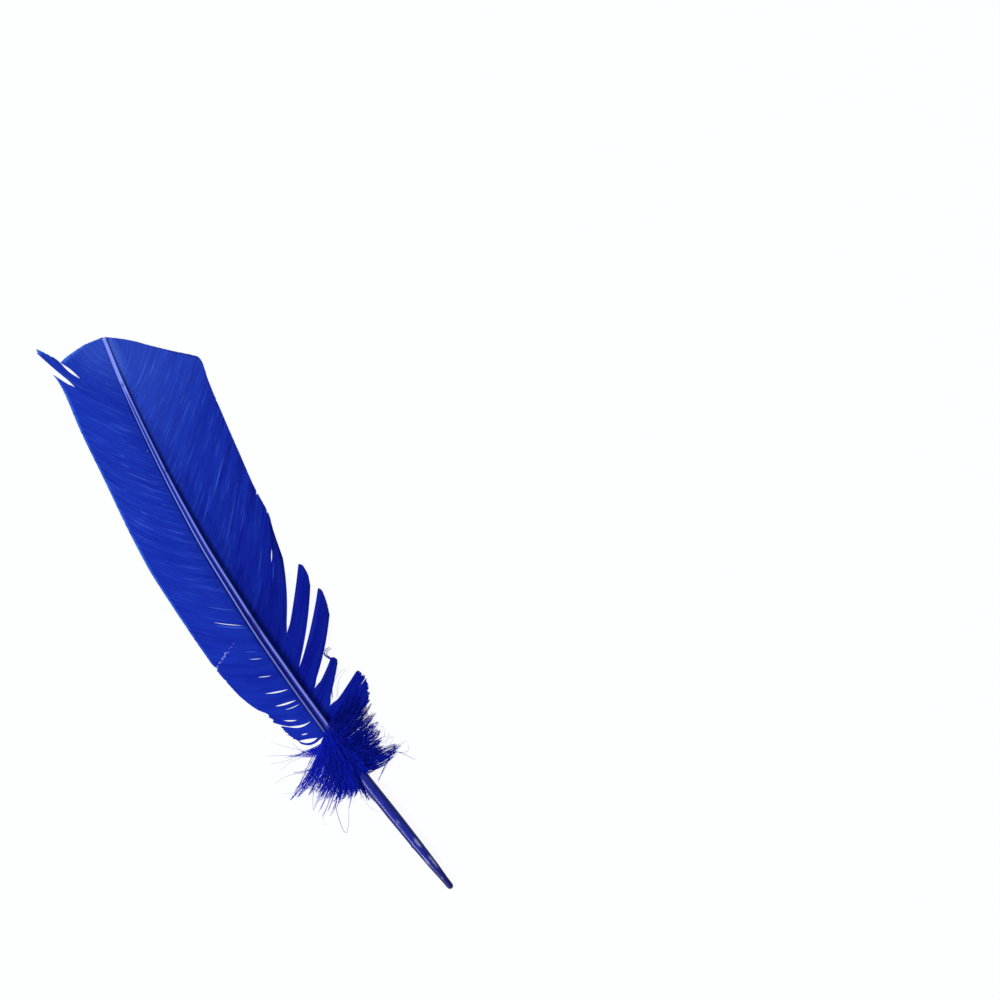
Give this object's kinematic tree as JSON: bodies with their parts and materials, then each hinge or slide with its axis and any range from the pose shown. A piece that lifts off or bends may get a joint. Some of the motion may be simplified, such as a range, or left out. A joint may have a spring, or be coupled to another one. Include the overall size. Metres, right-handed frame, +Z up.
{
  "type": "turkey feather",
  "caption": "Blue dyed turkey wing quill lying flat: a tapering bare quill, a grooved shaft, a narrow and a broad vane with a few splits, and a tuft of down between quill and vanes.",
  "frame": {"origin": "middle of the underside of the feather's box, on the table it lies on", "axes": "+Y along the feather from the quill to the tip, +X to the broad vane, +Z up out of the grooved side of the shaft"},
  "size_m": [0.0722, 0.3022, 0.0102],
  "materials": {
    "vane": "dyed royal blue barbs, satin",
    "shaft": "dyed horn, glossy, paler on the ridges of the grooved shaft and darker on the bare quill",
    "down": "dyed loose down, matt"
  },
  "bodies": {
    "root": {"feather": "vane"}
  },
  "joints": []
}
